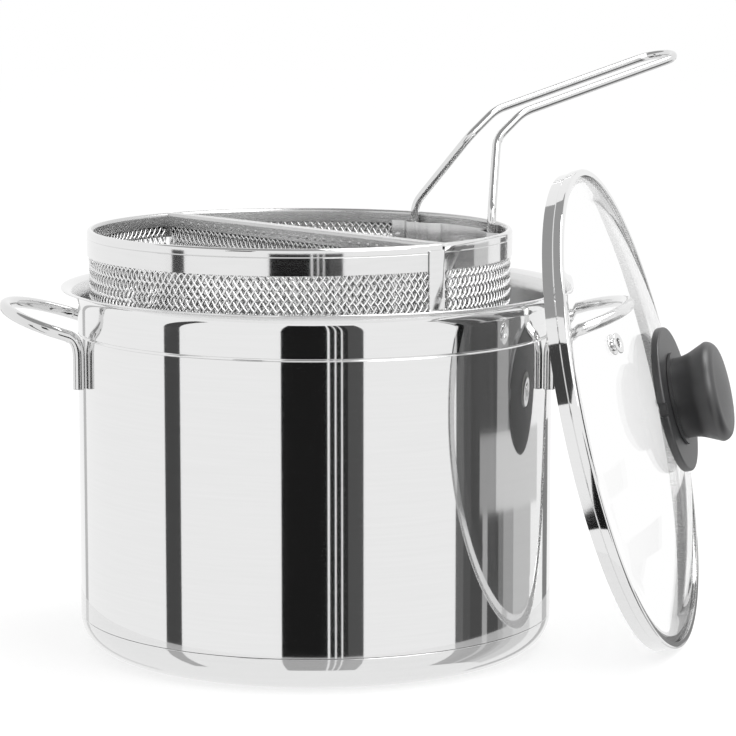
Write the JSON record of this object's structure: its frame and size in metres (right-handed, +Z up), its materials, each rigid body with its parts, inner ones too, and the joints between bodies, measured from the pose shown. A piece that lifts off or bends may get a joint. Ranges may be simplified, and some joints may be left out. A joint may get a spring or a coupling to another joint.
{
  "type": "stockpot with half-round mesh baskets",
  "caption": "Tall round steel pot with wire side handles, half-round wire-mesh lift-out baskets, a plug-in wire lift handle and a domed glass lid leaning beside it.",
  "frame": {"origin": "on the pot's axis, at the surface it stands on", "axes": "+Z up along the pot's axis, +X towards the side handle that the lid leans on, +Y away from the viewer of the picture"},
  "size_m": [0.3729, 0.2694, 0.2964],
  "materials": {
    "polished_steel": "mirror-polished stainless steel",
    "basket_sheet": "bright rolled stainless sheet",
    "handle_wire": "electropolished stainless wire",
    "mesh_wire": "woven stainless wire cloth",
    "core_aluminium": "plain disc, closed in",
    "lid_glass": "clear tempered glass",
    "knob_plastic": "satin black phenolic",
    "seal_silicone": "translucent white silicone"
  },
  "bodies": {
    "pot": {"pot_body": "polished_steel", "base_core": "core_aluminium", "base_cap": "polished_steel", "right_side_handle": "handle_wire", "left_side_handle": "handle_wire"},
    "front_basket": {"front_rim_band": "basket_sheet", "front_wall_mesh_1": "mesh_wire", "front_wall_mesh_2": "mesh_wire", "front_wall_mesh_3": "mesh_wire", "front_wall_mesh_4": "mesh_wire", "front_wall_mesh_5": "mesh_wire", "front_wall_mesh_6": "mesh_wire", "front_divider_mesh": "mesh_wire", "front_floor_mesh": "mesh_wire", "front_base_hoop": "basket_sheet", "front_seam_strip": "basket_sheet", "front_handle_bracket": "basket_sheet"},
    "rear_basket": {"rear_rim_band": "basket_sheet", "rear_wall_mesh_1": "mesh_wire", "rear_wall_mesh_2": "mesh_wire", "rear_wall_mesh_3": "mesh_wire", "rear_wall_mesh_4": "mesh_wire", "rear_wall_mesh_5": "mesh_wire", "rear_wall_mesh_6": "mesh_wire", "rear_divider_mesh": "mesh_wire", "rear_floor_mesh": "mesh_wire", "rear_base_hoop": "basket_sheet", "rear_seam_strip": "basket_sheet", "rear_handle_bracket": "basket_sheet"},
    "lift_handle": {"lift_handle": "handle_wire"},
    "lid": {"lid_glass": "lid_glass", "lid_band": "polished_steel", "lid_vent_eyelet": "polished_steel", "lid_knob_seal": "seal_silicone", "lid_knob_base": "knob_plastic", "lid_knob": "knob_plastic", "lid_knob_washer": "polished_steel", "lid_knob_screw": "polished_steel"}
  },
  "joints": [
    {"name": "front_basket_lift", "type": "slide", "parent": "pot", "child": "front_basket", "axis": [0, 0, 1], "range_m": [0, 0.22]},
    {"name": "rear_basket_lift", "type": "slide", "parent": "pot", "child": "rear_basket", "axis": [0, 0, 1], "range_m": [0, 0.22]},
    {"name": "lift_handle_plug", "type": "slide", "parent": "rear_basket", "child": "lift_handle", "axis": [0, 0, 1], "range_m": [0, 0.03]},
    {"name": "lid_lift", "type": "slide", "parent": "pot", "child": "lid", "axis": [0.683, -0.183, 0.7071], "range_m": [0, 0.3]}
  ]
}
